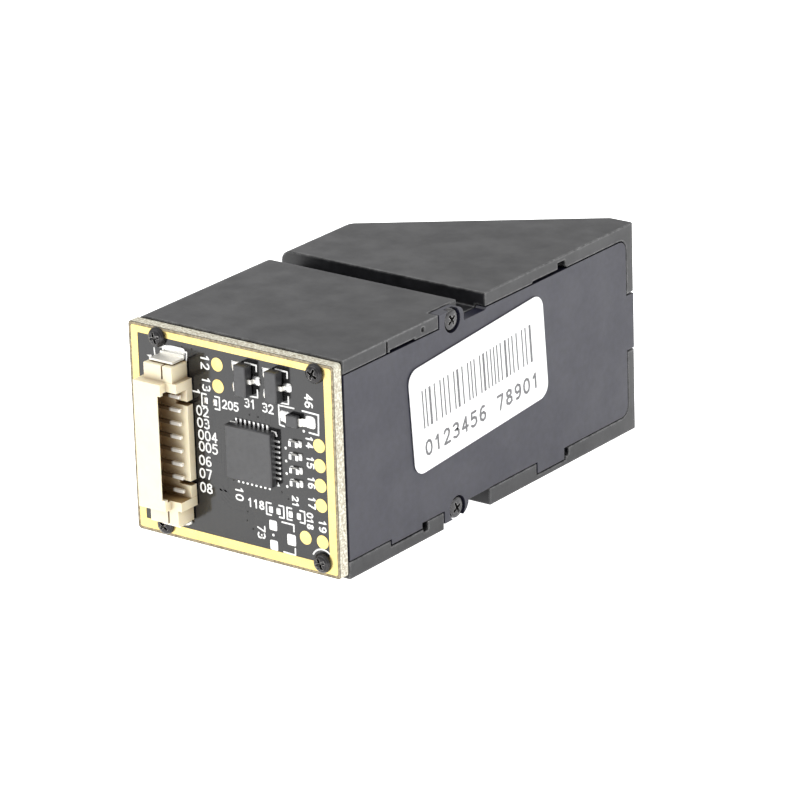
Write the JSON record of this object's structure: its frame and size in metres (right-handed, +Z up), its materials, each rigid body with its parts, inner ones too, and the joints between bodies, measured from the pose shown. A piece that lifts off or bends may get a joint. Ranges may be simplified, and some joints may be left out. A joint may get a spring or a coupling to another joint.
{
  "type": "optical fingerprint scanner module",
  "caption": "Small black optical fingerprint scanner module on its side: prism window on a slanted end, groove for a panel edge, circuit board with a wire connector on the rear end.",
  "frame": {"origin": "centre of the footprint, on the surface that the module rests on", "axes": "+Z up as the module lies; -Y towards the circuit board end; +X towards the screwed side cover; the slanted window faces -X and +Y"},
  "size_m": [0.023, 0.0478, 0.02],
  "materials": {
    "black_abs": "satin, fine moulded texture",
    "cover_abs": "satin, fine moulded texture",
    "black_solder_mask": "satin black mask with a gold border",
    "ivory_nylon": "satin",
    "tinned_brass": "bright",
    "black_zinc_screw": "black zinc",
    "chip_epoxy": "matte",
    "chip_ceramic": "matte",
    "label_paper": "coated",
    "prism_glass": "polished",
    "lens_glass": "polished",
    "filter_glass": "coated",
    "holder_abs": "matte",
    "ring_steel": "brushed",
    "lamp_board": "white mask",
    "lamp_epoxy": "clear",
    "milky_acrylic": "frosted",
    "crystal_can": "plated",
    "polyimide": "film"
  },
  "bodies": {
    "root": {"housing": "black_abs", "side_cover": "cover_abs", "cover_screw_top": "black_zinc_screw", "cover_screw_bottom": "black_zinc_screw", "label": "label_paper", "circuit_board": "black_solder_mask", "board_screw_1": "black_zinc_screw", "board_screw_2": "black_zinc_screw", "board_screw_3": "black_zinc_screw", "board_screw_4": "black_zinc_screw", "connector_housing": "ivory_nylon", "contact_1": "tinned_brass", "contact_2": "tinned_brass", "contact_3": "tinned_brass", "contact_4": "tinned_brass", "contact_5": "tinned_brass", "contact_6": "tinned_brass", "contact_7": "tinned_brass", "contact_8": "tinned_brass", "solder_clip_1": "tinned_brass", "solder_clip_2": "tinned_brass", "controller_chip": "chip_epoxy", "transistor_1": "chip_epoxy", "transistor_2": "chip_epoxy", "diode": "chip_epoxy", "resistor_1": "chip_ceramic", "resistor_2": "chip_ceramic", "resistor_3": "chip_ceramic", "resistor_4": "chip_ceramic", "touch_ring": "ring_steel", "prism": "prism_glass", "lens_holder": "holder_abs", "lens": "lens_glass", "ir_filter": "filter_glass", "image_sensor": "chip_epoxy", "flash_chip": "chip_epoxy", "crystal": "crystal_can", "lamp_board": "lamp_board", "lamp_1": "lamp_epoxy", "lamp_2": "lamp_epoxy", "lamp_3": "lamp_epoxy", "lamp_4": "lamp_epoxy", "diffuser": "milky_acrylic", "lamp_cable": "polyimide"}
  },
  "joints": []
}
